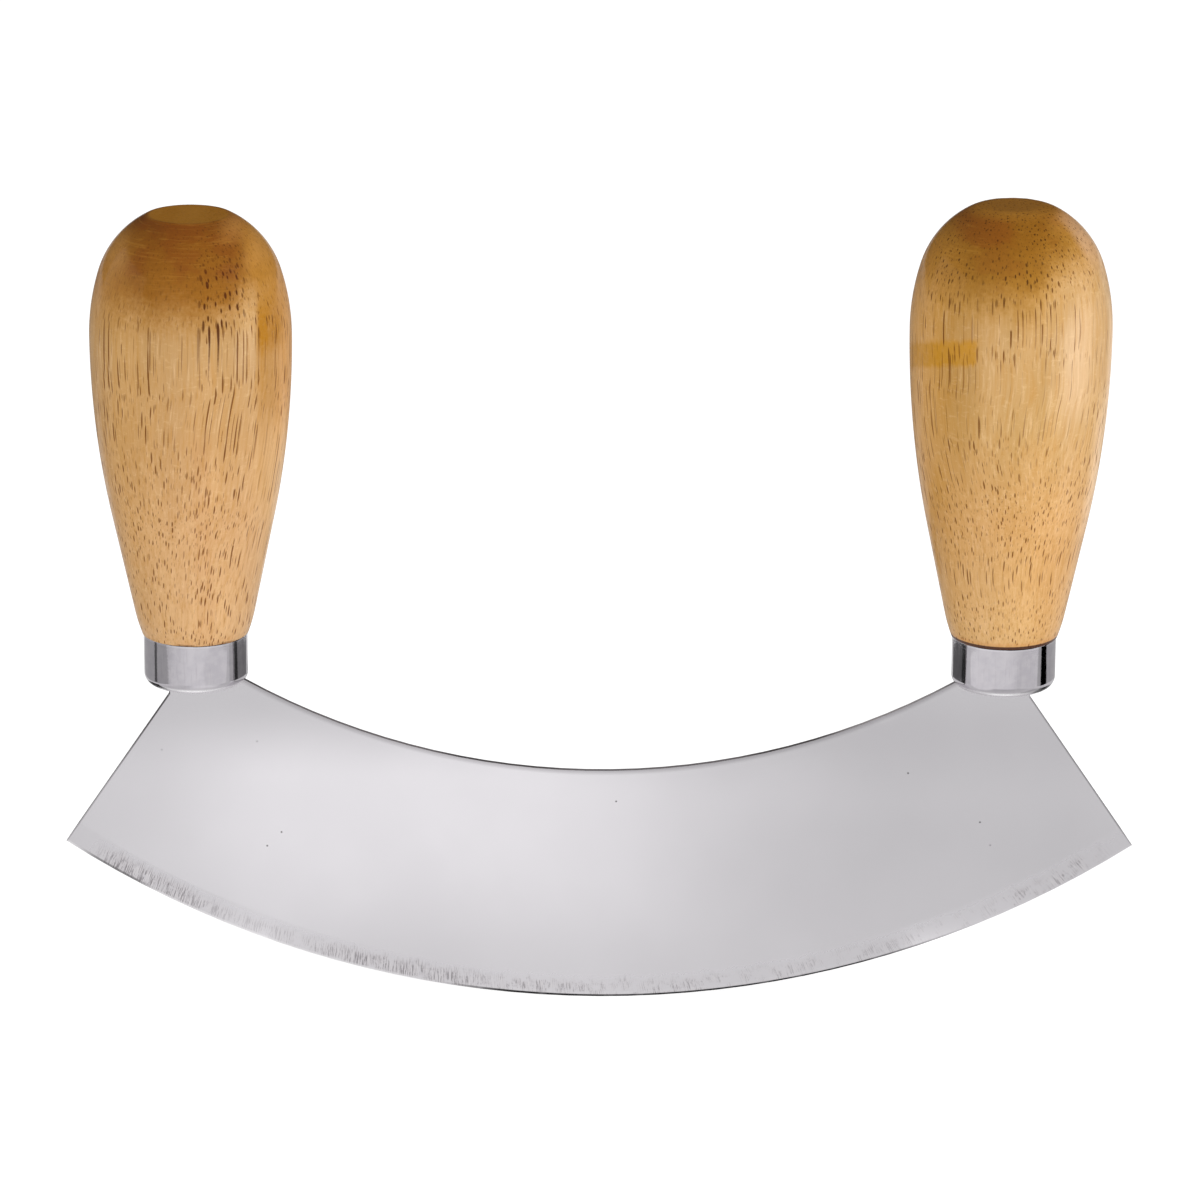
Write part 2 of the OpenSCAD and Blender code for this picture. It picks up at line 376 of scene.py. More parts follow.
def tan_wood(g, side, at):
    """Bare tan wood: broad tones and fine fibres, drawn out along the grain, and paler towards the foot,
    with painted light and shade on its sides.
    """
    x, below, turn = at.x, at.below, at.turn
    tone = g.tones(below, TAN_SPAN, TAN_TONES[side])
    broad = g.drawn_noise(at.gx, at.gy, at.z, 0.12, 0.02, at.shift, detail=2.0)
    tone = g.tint(tone, BROAD_TONE, g.step(broad, 0.35, 0.65, 0.0, 0.22))
    if side == LEFT:
        # Painted shade deepening towards the left, painted light in a warm rim on the right of the belly,
        # and painted light making it pale below it
        tone = g.tint(tone, SHADED_TONES[side], g.step(x, 0.0, -16.0, 0.0, 0.34))
        tone = g.tint(tone, WARM_RIM_LIGHT_TONES[side], g.step(turn, 0.92, 1.24, 0.0, 0.36),
                      g.step(below, 54.0, 40.0))
        tone = g.tint(tone, LOW_FLANK_LIGHT_AND_SHADE_TONES[side], g.step(x, 11.0, 18.0, 0.0, 0.45),
                      g.step(below, 34.0, 46.0))
    else:
        # Painted shade deepening towards the left with painted light in a warm rim there, a painted
        # highlight in a pale stripe, the painted highlight of the bright rim, and painted shade dulling the
        # front of the foot
        tone = g.tint(tone, SHADED_TONES[side], g.step(x, -3.0, -15.0, 0.0, 0.50))
        tone = g.tint(tone, WARM_RIM_LIGHT_TONES[side], g.step(x, -13.0, -19.0, 0.0, 0.26))
        tone = g.tint(tone, STRIPE_HIGHLIGHT_TONE, g.step(x, 7.5, 12.0), g.step(x, 16.5, 13.0, 0.1, 1.0),
                      g.step(below, 14.0, 22.0, 0.2, 1.0), g.step(below, 44.0, 33.0, 0.10, 0.30))
        tone = g.tint(tone, RIM_HIGHLIGHT_TONE, right_painted_highlight(g, at))
        tone = g.tint(tone, LOW_FLANK_LIGHT_AND_SHADE_TONES[side], g.step(x, 2.0, 9.0, 0.0, 0.40),
                      g.step(below, 58.0, 72.0))
    tone = g.tint(tone, FIBRE_DARK, g.step(at.fibre, 0.44, 0.70, 0.0, 0.44))
    tone = g.tint(tone, FIBRE_PALE, g.step(at.fibre, 0.46, 0.30, 0.0, 0.30))
    figure = g.drawn_noise(at.gx, at.gy, at.z, 0.75, 1.5, at.shift + 20.0, detail=3.0, distort=0.6)
    return g.tint(tone, FIGURE_TONE, g.step(figure, 0.55, 0.72, 0.0, 0.14))


def dome_wood(g, side, at):
    """The dome takes up the finish: golden brown with reddish patches, with painted light making it paler
    on its flanks and a painted highlight high on its right.
    """
    x, below = at.x, at.below
    tone = g.tones(at.depth, DOME_SPAN, DOME_TONES[side])
    red = g.drawn_noise(x, at.y, at.z, 0.14, 0.2, at.shift + 9.0, detail=2.0)
    red = g.mul(g.step(red, 0.46, 0.64, 0.0, 0.55 if side == LEFT else 0.25), g.step(at.depth, 16.0, 8.0))
    if side == RIGHT:
        # One reddish patch stands left of the flat
        spot = g.add(g.square(g.math("DIVIDE", g.add(x, 6.5), 6.5)),
                     g.square(g.math("DIVIDE", g.sub(below, 2.8), 3.2)))
        red = g.most(red, g.step(g.add(spot, g.sway(at.fine, 1.2)), 1.3, 0.3, 0.0, 0.6))
    tone = g.tint(tone, RED_TONE, red)
    # Painted light on the flanks, and a painted highlight high on the right
    tone = g.tint(tone, DOME_SIDE_LIGHT_TONE, g.step(g.away(x), 8.0, 17.0, 0.0, 0.5))
    tone = g.tint(tone, DOME_RIGHT_HIGHLIGHT_TONE, g.step(x, 5.0, 10.0, 0.0, 0.5), g.step(below, 5.0, 1.0))
    if side == RIGHT:
        # A painted highlight on a pale shoulder on the right, and the flat that fades into the dome
        tone = g.tint(tone, SHOULDER_HIGHLIGHT_TONE, g.step(below, 24.0, 10.0), g.step(x, 6.0, 14.0),
                      g.step(at.turn, 0.86, 1.12, 0.0, 0.42))
        tone = g.tint(tone, FLAT_TONES[side], g.step(below, 1.8, 0.1))
    else:
        # Painted light in pale corners where the flat meets the dome, and the flat itself
        tone = g.tint(tone, CORNER_LIGHT_TONE, g.step(g.away(x), 10.5, 14.0, 0.0, 0.36),
                      g.step(below, 11.0, 6.0), g.step(x, -4.0, 4.0, 0.55, 1.0))
        within_flat = g.step(g.distance(x, at.y), 8.3, 7.6, 0.2, 1.0)
        tone = g.tint(tone, FLAT_TONES[side], g.step(below, 0.32, 0.10), within_flat)
    return g.tint(tone, FIBRE_ON_DOME, g.step(at.fibre, 0.40, 0.66, 0.0, 0.20))


def golden_stain(g, side, at):
    """Where the stain lies: down the side of one dome, across the belly of the other."""
    streak = g.noise(g.vector(g.mul(at.gx, 1.1), g.mul(at.gy, 1.1), at.shift), detail=3.0)
    if side == LEFT:
        near_edge = g.sub(at.x, g.math("MINIMUM", g.mul(at.below, 0.25), 3.5))
        ragged = g.add(at.below, g.mul(streak, 8.0))
        stain = g.mul(g.step(near_edge, 10.0, 11.4), g.step(ragged, 31.0, 26.0, 0.46, 0.95),
                      g.step(at.below, 64.0, 26.0), g.step(at.below, 9.0, 19.0, 0.35, 1.0),
                      g.step(at.x, 19.9, 17.6, 0.35, 1.0))
    else:
        ragged = g.add(g.sub(at.below, g.mul(at.y, 0.306)), g.sway(streak, 2.4))
        stain = g.mul(g.step(g.away(at.x, -14.6), 7.6, 6.0),
                      g.step(g.away(ragged, 31.5), 3.3, 1.8, 0.0, 0.85))
    return g.mul(stain, g.step(at.y, 4.0, -4.0), g.step(at.fine, 0.2, 0.6, 0.75, 1.0))


def vessels(g, at, scale, radius, amount, offset=0.0):
    """Thin tubes along the grain, one in each cell of a pattern with this scale. Each has its own width
    and shows on stretches, which take up about the given amount of its length."""
    cells = g.node("ShaderNodeTexVoronoi",
                   {"Vector": g.vector(g.add(at.gx, at.shift + offset), at.gy, 0.0), "Scale": scale,
                    "Randomness": 1.0}, voronoi_dimensions="2D", feature="F1")
    own = g.split(cells.outputs["Color"])
    along = g.noise(g.vector(g.mul(own[0], 90.0), g.mul(own[1], 90.0), g.mul(at.z, 0.19)), detail=1.0)
    there = g.step(g.add(along, g.mul(own[2], 0.25)), 1.0 - amount, 1.06 - amount)
    size = g.add(0.6 * radius, g.mul(own[0], 0.7 * radius))
    inside = g.step(g.sub(cells.outputs["Distance"], size), 0.35 * radius, -0.35 * radius)
    return g.mul(inside, there)


def add_vessels(g, side, at, colour):
    """The colour with its vessels, and the masks of the coarse and the thin ones."""
    crowd = g.drawn_noise(at.gx, at.gy, at.z, 0.17, 0.03, at.shift + 4.0, detail=2.0)
    crowd = g.step(crowd, 0.34, 0.56, 0.40, 1.0)
    if side == LEFT:
        cluster = g.step(g.away(at.x, 7.5), 6.0, 3.0)
        on_dome = g.add(0.3, g.mul(cluster, 0.3))
        crowd = g.split(g.mix(g.step(at.depth, 24.0, 14.0), g.most(crowd, cluster), on_dome))[0]
    coarse = g.mul(vessels(g, at, scale=0.98, radius=0.138, amount=0.58), crowd)
    thin = g.mul(vessels(g, at, scale=1.6, radius=0.120, amount=0.60, offset=50.0), crowd,
                 g.step(at.below, 56.0, 78.0, 1.0, 0.6))
    vessel_tone = g.mix(g.step(at.depth, 8.0, 24.0), linear(*VESSEL_ON_DOME), linear(*VESSEL_TONE))
    colour = g.tint(colour, vessel_tone, coarse, 0.85)
    colour = g.tint(colour, vessel_tone, thin, 0.60)
    if side == LEFT:
        # A crowd of open pores on the dome, and a row of long ones down the flank
        open_pores = g.mul(cluster, g.step(at.depth, 30.0, 22.0),
                           vessels(g, at, scale=0.82, radius=0.188, amount=0.62, offset=90.0),
                           g.step(at.below, 4.0, 9.0))
        colour = g.tint(colour, OPEN_PORE_TONE, open_pores, 0.94)
        row = g.mul(g.step(g.away(g.sub(g.sub(at.x, 2.9), g.sway(at.dx, 6.0))), 2.6, 1.0),
                    g.step(at.below, 36.0, 46.0))
        long_pores = vessels(g, at, scale=1.1, radius=0.16, amount=0.60, offset=130.0)
        colour = g.tint(colour, ROW_TONE, row, 0.16)
        colour = g.tint(colour, LONG_PORE_TONE, long_pores, row, 0.75)
    return colour, coarse, thin


def tool_rings(g, side, at):
    """Rings left by the tool near the end of the handle, and where they show."""
    place = g.vector(g.mul(at.x, 0.15), g.mul(at.patch, 2.5), g.mul(at.z, 3.2))
    ring = g.noise(place, detail=3.0, rough=0.6)
    shown = g.step(at.patch, 0.40, 0.55)
    if side == LEFT:
        shown = g.most(shown, g.step(g.away(at.x, -2.0), 11.0, 7.0))
    return ring, g.mul(g.step(at.below, 22.0, 4.0), shown)


def foot_seam(g, side, at, colour):
    """A warm band and a dark line where the wood meets the ferrule, broken on the left handle."""
    if side == RIGHT:
        strength, line_top, line_full = 1.0, 0.76, 0.54
    else:
        round_axis = g.math("ARCTAN2", at.y, at.x)
        broken = g.noise(g.vector(g.mul(round_axis, 1.6), at.shift, 0.0), detail=2.0)
        strength, line_top, line_full = g.step(broken, 0.44, 0.60, 0.0, 0.5), 0.50, 0.20
    colour = g.tint(colour, SEAM_WARMTH, g.step(at.z, FOOT_Z + 1.9, FOOT_Z + 0.7), strength, 0.28)
    return g.tint(colour, SEAM_TONE, g.step(at.z, FOOT_Z + line_top, FOOT_Z + line_full), strength, 0.95)


def wood(name, side, length, seed):
    """Pale close-grained wood under lacquer. Its vessels are thin tubes that run up the handle, so the
    surface cuts them into dots on the dome, dashes on the taper and long lines round the belly."""
    material, g, shader = new_material(name)
    at = grip_places(g, side, length, seed)
    colour = g.mix(g.step(at.depth, 24.0, 12.0), tan_wood(g, side, at), dome_wood(g, side, at))
    colour = g.tint(colour, STAIN_TONES[side], golden_stain(g, side, at))
    colour, coarse, thin = add_vessels(g, side, at, colour)
    ring, rings_shown = tool_rings(g, side, at)
    colour = g.tint(colour, RING_TONE, g.step(ring, 0.52, 0.68, 0.0, 0.17), rings_shown)
    colour = foot_seam(g, side, at, colour)
    g.put(shader.inputs["Base Color"], colour)

    # Satin lacquer that the vessels break, and a fine relief
    rough = g.add(0.46, g.sway(at.fine, 0.16))
    g.put(shader.inputs["Roughness"], g.add(rough, g.mul(coarse, 0.15)))
    shader.inputs["Specular IOR Level"].default_value = 0.12
    g.put(shader.inputs["Coat Weight"], g.sub(0.45, g.mul(g.most(coarse, thin), 0.40)))
    shader.inputs["Coat Roughness"].default_value = 0.12
    relief = g.add(g.mul(coarse, -1.0), g.mul(at.fibre, 0.35))
    relief = g.add(relief, g.mul(ring, rings_shown, 0.9))
    g.put(shader.inputs["Normal"], g.bump(relief, 0.06 * MM, 0.8))
    return material


# Blade steel
def blade_places(g):
    """Where a point of the blade lies: from the common centre of its arcs, round it, along the edge and
    inwards from it, in mm and radians."""
    place = g.millimetres(0.0, 0.0, EDGE_RADIUS)
    x, y, z = g.split(place)
    radius = g.distance(x, z)
    angle = g.front_angle(x, z)
    return SimpleNamespace(place=place, x=x, y=y, z=z, radius=radius, angle=angle,
                           arc=g.mul(angle, EDGE_RADIUS), to_edge=g.sub(EDGE_RADIUS, radius))


def above_origin(height):
    """A height above the lowest point of the edge as z from the centre of the arcs."""
    return height - EDGE_RADIUS


def rolled_face(g, at):
    """The rolled face: very faint clouds, and painted shade darkening it towards both horns and, a little,
    towards both ends.
    """
    cloud = g.noise(at.place, scale=0.035, detail=3.0)
    face = g.mix(g.step(cloud, 0.3, 0.7), *[linear(*rgb) for rgb in CLOUD_TONES])
    # Painted shade towards the horns, deeper on the left
    left_horn_shade = g.mul(g.step(at.z, above_origin(47.0), above_origin(65.0), 0.0, 0.27),
                      g.step(at.x, -95.0, -66.0, 0.6, 1.0))
    right_horn_shade = g.mul(g.step(at.z, above_origin(42.0), above_origin(62.0), 0.0, 0.17),
                       g.step(at.x, 90.0, 50.0, 0.6, 1.0))
    face = g.tint(face, BLACK, g.mix(g.step(at.x, -20.0, 20.0), left_horn_shade, right_horn_shade))
    # Painted shade, a little, towards both ends
    ends = g.most(g.step(at.x, -62.0, -92.0, 0.0, 0.08), g.step(at.x, 30.0, 70.0, 0.0, 0.07))
    return g.tint(face, BLACK, ends)


def ground_band(g, at):
    """Where the band ground along the edge shows. Its upper limit is only where the cross marks end."""
    wander = g.noise(g.vector(g.mul(at.arc, 0.25), 0.0, 0.0), detail=4.0, rough=0.7)
    reach = g.add(MARK_REACH, g.sway(wander, 4.0))
    span = 2.0 * MARK_HALF_SPAN
    busy = g.ramp(g.math("DIVIDE", g.add(at.arc, MARK_HALF_SPAN), span), [
        ((place + MARK_HALF_SPAN) / span, grey(much)) for place, much in MARKS])
    return g.mul(g.step(g.sub(reach, at.to_edge), -1.4, 1.0), g.split(busy)[0])


def cross_marks(g, at, face, band):
    """Haze, dark and bright marks across the ground band, in clusters. Also gives the scratches."""
    fan = g.add(at.arc, g.mul(at.to_edge, 0.15))
    scratch = g.noise(g.vector(g.mul(fan, 4.8), g.mul(at.to_edge, 0.30), 0.0), detail=3.0, rough=0.7)
    cluster = g.noise(g.vector(g.mul(at.arc, 0.30), g.mul(at.to_edge, 0.30), 7.0), detail=5.0, rough=0.7)
    cluster = g.add(cluster, g.step(at.arc, -14.0, -30.0, 0.0, 0.06))
    cluster = g.add(cluster, g.step(g.away(at.arc, -97.0), 13.0, 6.0, 0.0, 0.07))
    face = g.tint(face, MARK_HAZE, band, g.step(cluster, 0.42, 0.62, 0.05, 0.45))
    face = g.tint(face, DARK_MARK, g.step(scratch, 0.51, 0.57), g.step(cluster, 0.44, 0.60), band, 0.70)
    face = g.tint(face, BRIGHT_MARK, g.step(scratch, 0.44, 0.36), g.step(cluster, 0.42, 0.58), band, 0.6)
    return face, scratch


def edge_shade_and_highlight(g, at, face):
    """The edge itself: painted shade in a dark line along the middle, with a painted highlight in a bright
    line above it, painted highlights towards both ends, and painted shade once more at the left tip."""
    shade_run = g.noise(g.vector(g.mul(at.arc, 0.30), 4.0, 0.0), detail=3.0)
    shade_run = g.mul(g.step(at.arc, -36.0, -18.0), g.step(at.arc, 86.0, 50.0),
                 g.step(shade_run, 0.25, 0.50, 0.75, 1.0))
    # Painted highlight: a faint bright line just above the dark one
    face = g.tint(face, HIGHLIGHT_SILVER, g.step(g.away(at.to_edge, 0.86), 0.34, 0.12), shade_run, 0.14)
    thinner = g.add(g.step(at.arc, -16.0, 8.0, 0.02, 0.10), g.step(at.arc, 20.0, 48.0, 0.0, 0.06))
    line = g.mul(g.step(g.add(at.to_edge, thinner), 0.58, 0.42), shade_run)
    tip_shade = g.step(g.away(at.arc, -105.0), 11.0, 4.0)
    line = g.most(line, g.mul(tip_shade, 0.55, g.step(at.to_edge, 0.60, 0.42)))
    # Painted shade: the dark line along the edge and at the left tip
    face = g.tint(face, EDGE_SHADE_TONE, line, 0.97)
    # Painted highlights on the edge towards both ends, but not at the left tip
    highlight_arcs = g.most(g.step(at.arc, -28.0, -44.0, 0.0, 0.7), g.step(at.arc, 70.0, 86.0, 0.0, 0.22))
    return g.tint(face, HIGHLIGHT_SILVER, g.step(at.to_edge, 0.62, 0.2), highlight_arcs, g.sub(1.0, tip_shade))


def painted_arris_shade(g, at, face):
    """Painted shade on the face where it meets the upper arc, the end edges and the neck."""
    # Painted shade under the lip of the upper arc
    face = g.tint(face, LIP_SHADE_TONE, g.step(g.sub(at.radius, SPINE_RADIUS), 1.15, 0.0, 0.0, 0.42))
    to_end = g.away(g.mul(at.radius, g.sub(END_ANGLE, g.away(at.angle))))
    neck_foot, below_neck = above_origin(NECK_Z), above_origin(NECK_Z - 0.5)
    end = g.mul(g.step(to_end, g.step(at.x, -20.0, 20.0, 0.34, 0.26), 0.12),
                g.step(at.z, neck_foot, below_neck))
    neck = g.mul(g.step(g.away(at.x), NECK_X - 0.32, NECK_X - 0.12), g.step(at.z, below_neck, neck_foot))
    left_arris_shade = g.step(at.z, above_origin(44.0), above_origin(64.0), 0.34, 0.95)
    share = g.most(g.mul(g.step(at.x, 20.0, -20.0), left_arris_shade), 0.32)
    return g.tint(face, ARRIS_SHADE_TONE, g.most(end, neck), share)


def pits(g, at, face):
    """A few small dark pits in the face."""
    for x, z, depth in PITS:
        away = g.math("SQRT", g.add(g.square(g.sub(at.x, x)), g.square(g.sub(at.z, above_origin(z)))))
        face = g.tint(face, PIT_TONE, g.step(away, 0.26, 0.12, 0.0, depth))
    return face


def sheared_edge(g, at):
    """Where the surface is an edge of the plate, and its tone: dull and dark, paler along the upper arc but
    for two darker stretches, and palest on one stretch of it."""
    normal = g.node("ShaderNodeNewGeometry").outputs["Normal"]
    sheared = g.step(g.away(g.split(normal)[1]), 0.7, 0.3)
    darker_stretches = g.most(g.step(g.away(at.x, -20.0), 16.0, 8.0), g.step(g.away(at.x, 39.5), 12.0, 5.0))
    # Where the upper arc's edge is paler, out towards the necks
    worn = g.mul(g.step(g.away(at.x), 72.0, 66.0), g.sub(1.0, darker_stretches))
    shade = g.mix(worn, linear(*SHEARED_TONE), linear(*PALER_EDGE_TONE))
    return sheared, g.tint(shade, PALEST_TONE, g.step(at.x, 44.0, 56.0), g.step(at.x, 75.0, 69.0))


def steel(name):
    """Satin plate, with short cross marks on the band ground along the edge."""
    material, g, shader = new_material(name)
    at = blade_places(g)
    band = ground_band(g, at)
    face, scratch = cross_marks(g, at, rolled_face(g, at), band)
    face = pits(g, at, painted_arris_shade(g, at, edge_shade_and_highlight(g, at, face)))
    sheared, shade = sheared_edge(g, at)
    g.put(shader.inputs["Base Color"], g.tint(face, shade, sheared, 0.95))
    g.put(shader.inputs["Metallic"], g.sub(1.0, g.mul(sheared, 0.85)))
    grain = g.noise(g.vector(g.mul(at.x, 0.05), g.mul(at.y, 2.0), g.mul(at.z, 2.2)), detail=4.0, rough=0.6)
    rough = g.add(0.27, g.mul(band, 0.06))
    rough = g.add(rough, g.sway(grain, 0.008))
    g.put(shader.inputs["Roughness"], g.add(rough, g.mul(sheared, 0.2)))
    g.put(shader.inputs["Normal"], g.bump(g.mul(scratch, band), 0.02 * MM, 0.5))
    return material


# Ferrule chrome
def chrome(name, side, seed):
    """Bright plating over a drawn cup, with faint upright draw lines, and painted highlights in a light rim
    and a pale foot.
    """
    material, g, shader = new_material(name)
    place = g.millimetres(side * HANDLE_OFFSET, 0.0, FOOT_Z)
    x, y, z = g.split(place)
    angle = g.front_angle(x, y)
    draw = g.noise(g.vector(g.mul(angle, 22.0), seed * 11.0, g.mul(z, 0.12)), detail=4.0, rough=0.65)
    haze = g.noise(place, scale=0.5, detail=3.0)
    tone = g.mix(g.step(haze, 0.35, 0.65), *[linear(*rgb) for rgb in PLATING_TONES])
    tone = g.tint(tone, DRAW_LINE_TONE, g.step(draw, 0.52, 0.74, 0.0, 0.35))
    # Painted highlight round the rim
    tone = g.tint(tone, FERRULE_RIM_HIGHLIGHT_TONE, g.step(g.away(z, -0.35), 0.30, 0.10), 0.5)
    # Painted highlight on the foot, which is rougher too
    foot = g.step(z, 1.5 - FERRULE_HEIGHT, 0.9 - FERRULE_HEIGHT)
    g.put(shader.inputs["Base Color"], g.tint(tone, HIGHLIGHT_SILVER, foot, 0.95))
    shader.inputs["Metallic"].default_value = 1.0
    rough = g.add(0.05, g.mul(g.step(draw, 0.4, 0.75), 0.06))
    g.put(shader.inputs["Roughness"], g.add(rough, g.mul(foot, 0.22)))
    scuff = g.noise(g.vector(g.mul(angle, 16.0), seed * 7.0, g.mul(z, 2.0)), detail=3.0, rough=0.6)
    g.put(shader.inputs["Normal"], g.bump(g.add(draw, g.mul(scuff, 1.3)), 0.01 * MM, 0.5))
    return material


# Turned handles
def arc_points(cx, cz, r, a0, a1, count):
    return [(cx + r * cos(a0 + (a1 - a0) * i / count), cz + r * sin(a0 + (a1 - a0) * i / count))
            for i in range(count + 1)]


def grip_profile(length, flat_r, worn):
    """Outer half section from the middle of the end flat down to the foot, as the source draws it."""
    dome_z = length - sqrt(DOME_R ** 2 - flat_r ** 2)
    shoulder_x = BELLY_R - SHOULDER_ARC
    belly_z = dome_z - sqrt((SHOULDER_ARC - DOME_R) ** 2 - shoulder_x ** 2)
    dome_start = atan2(dome_z - belly_z, -shoulder_x)
    worn_z = length - worn
    worn_r = sqrt((DOME_R - worn) ** 2 - (worn_z - dome_z) ** 2)
    dome_end = atan2(worn_z - dome_z, worn_r)
    half_turn = tan(FLANK / 2)
    foot_cx, foot_cz = FOOT_R - FOOT_ARC * cos(FOOT_ANGLE), FOOT_ARC * sin(FOOT_ANGLE)
    foot = arc_points(foot_cx, foot_cz, FOOT_ARC, -FLANK, -FOOT_ANGLE, FOOT_STEPS)
    flank_line_r = foot[0][0] - foot[0][1] * tan(FLANK)
    flank_z = (BELLY_R - flank_line_r - belly_z * half_turn) / (tan(FLANK) - half_turn)
    flank_arc = (belly_z - flank_z) / sin(FLANK)
    points = [(worn_r * i / FLAT_STEPS, length) for i in range(FLAT_STEPS)]
    points += arc_points(worn_r, worn_z, worn, pi / 2, dome_end, WORN_STEPS)
    points += arc_points(0.0, dome_z, DOME_R, dome_end, dome_start, DOME_STEPS)[1:]
    points += arc_points(shoulder_x, belly_z, SHOULDER_ARC, dome_start, 0.0, SHOULDER_STEPS)[1:]
    points += arc_points(BELLY_R - flank_arc, belly_z, flank_arc, 0.0, -FLANK, BELLY_STEPS)[1:]
    (r0, z0), (r1, z1) = points[-1], foot[0]
    points += [(r0 + (r1 - r0) * i / FLANK_STEPS, z0 + (z1 - z0) * i / FLANK_STEPS)
               for i in range(1, FLANK_STEPS)]
    return points + foot


def worn_radius(r, h, a, side, length, flat_r, seed):
    """A radius of the outer outline with the tool rings of the dome and the uneven edge of the flat."""
    down = length - h
    fade = max(0.0, 1.0 - down / RING_REACH)
    spot = Vector((cos(a) * RING_WAVES_ROUND + seed, sin(a) * RING_WAVES_ROUND, h * RING_WAVES_UP))
    worn = r + RING_DEPTH * fade * mnoise.noise(spot)
    if abs(r - flat_r) < EDGE_WIDTH and down < EDGE_DROP:
        spot = Vector((cos(a) * EDGE_WAVES_ROUND + seed, sin(a) * EDGE_WAVES_ROUND, 0.0))
        worn += EDGE_WAVE[side] * mnoise.noise(spot)
    return worn


def turned_handle(name, side, length, flat_r, worn, seed):
    """Lathe work: the grip with its end flat and tool rings, the spigot and the drilled hole."""
    outer = grip_profile(length, flat_r, worn)
    inner = [(SPIGOT_R, 0.0), (SPIGOT_R, SPIGOT_BEVEL - SPIGOT_LENGTH),
             (SPIGOT_R - SPIGOT_BEVEL, -SPIGOT_LENGTH), (HOLE_R, -SPIGOT_LENGTH),
             (HOLE_R, HOLE_DEPTH), (0.0, HOLE_DEPTH)]
    axis_x = side * HANDLE_OFFSET
    vertices, faces, rings = [], [], []
    for i, (r, h) in enumerate(outer + inner):
        if r < 1e-6:
            rings.append([len(vertices)])
            vertices.append((axis_x * MM, 0.0, (FOOT_Z + h) * MM))
            continue
        rings.append(range(len(vertices), len(vertices) + SEGMENTS))
        for k in range(SEGMENTS):
            a = 2 * pi * k / SEGMENTS
            around = worn_radius(r, h, a, side, length, flat_r, seed) if i < len(outer) else r
            vertices.append(((axis_x + around * cos(a)) * MM, around * sin(a) * MM, (FOOT_Z + h) * MM))
    for a, b in zip(rings, rings[1:]):
        for k in range(SEGMENTS):
            n = (k + 1) % SEGMENTS
            if len(a) == 1:
                faces.append((a[0], b[k], b[n]))
            elif len(b) == 1:
                faces.append((a[k], b[0], a[n]))
            else:
                faces.append((a[k], b[k], b[n], a[n]))
    mesh = bpy.data.meshes.new(name)
    mesh.from_pydata(vertices, [], faces)
    mesh.update()
    mesh.shade_smooth()
    mesh.set_sharp_from_angle(angle=SHARP_ANGLE)
    piece = bpy.data.objects.new(name, mesh)
    bpy.context.scene.collection.objects.link(piece)
    return piece


for node_name, side, length, flat_r, worn, seed in HANDLES:
    grip = turned_handle(node_name + "_turned", side, length, flat_r, worn, seed)
    grip.data.materials.append(wood(node_name + "_wood", side, length, seed))
    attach(grip, "root")
    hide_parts(node_name)

nodes["blade"].material_slots[0].material = steel("blade_satin")
for side, node_name, seed in FERRULES:
    nodes[node_name].material_slots[0].material = chrome(node_name + "_plating", side, seed)


# Floor, world, lamps and cards. The table, in m: half its width and its height, just under the edge
TABLE_HALF, TABLE_Z = 4.0, -0.2 * MM
# How much light the table gives back, and what the camera sees of it: a duller white with its own glow
TABLE_MATT, TABLE_SEEN, TABLE_GLOW = 0.85, 0.35, 0.88
# The room's light by the upward part of a direction
ROOM_LIGHT = ((0.0, (1.00, 1.00, 1.01, 1)), (0.35, (0.86, 0.86, 0.87, 1)), (0.75, (0.58, 0.58, 0.59, 1)),
              (1.0, (0.52, 0.52, 0.53, 1)))


def flat_sheet(name, corners, material):
    """One flat face, with its corners in m."""
    mesh = bpy.data.meshes.new(name)
    mesh.from_pydata(corners, [], [tuple(range(len(corners)))])
    mesh.materials.append(material)
    piece = bpy.data.objects.new(name, mesh)
    bpy.context.scene.collection.objects.link(piece)
    return piece


def mirrored_table(g):
    """What bright metal and lacquer mirror: a pool of light that thins out to the sides."""
    x, y, _ = g.split(g.millimetres())
    lit = g.mul(g.step(x, -125.0, -75.0, 0.35, 1.0), g.step(x, 34.0, -4.0))
    near = g.step(y, -110.0, -50.0, 0.64, 0.69)
    near = g.add(near, g.mul(lit, g.step(y, -15.0, -120.0, 0.15, 1.0), 0.36))
    near = g.mix(g.step(x, 180.0, 220.0), near, grey(0.80))
    near = g.mix(g.step(x, -165.0, -205.0), near, g.step(x, -310.0, -240.0, 0.68, 0.84))
    far = g.step(g.away(x, -10.0), 320.0, 100.0, 0.76, 0.95)
    return g.mix(g.step(y, -215.0, -190.0), far, near)


def floor():
    """A white table: evenly lit for the camera, matt for the light, and a pool of light in mirrors."""
    material, g = bare_material("floor")
    pool = mirrored_table(g)
    path = g.node("ShaderNodeLightPath")
    mirrored = g.node("ShaderNodeEmission", {"Color": pool, "Strength": 1.0}).outputs[0]
    matt = g.node("ShaderNodeBsdfDiffuse", {"Color": grey(TABLE_MATT)}).outputs[0]
    dull = g.node("ShaderNodeBsdfDiffuse", {"Color": grey(TABLE_SEEN)}).outputs[0]
    white = g.node("ShaderNodeEmission", {"Color": grey(1.0), "Strength": TABLE_GLOW}).outputs[0]
    seen = g.node("ShaderNodeAddShader", {0: dull, 1: white}).outputs[0]
    shader = g.node("ShaderNodeMixShader", {0: path.outputs["Is Camera Ray"], 1: matt, 2: seen}).outputs[0]
    glossy = g.most(path.outputs["Is Glossy Ray"], path.outputs["Is Transmission Ray"])
    shader = g.node("ShaderNodeMixShader", {0: glossy, 1: shader, 2: mirrored}).outputs[0]
    g.node("ShaderNodeOutputMaterial", {0: shader})
    half, z = TABLE_HALF, TABLE_Z
    corners = [(-half, -half, z), (half, -half, z), (half, half, z), (-half, half, z)]
    piece = flat_sheet("floor", corners, material)


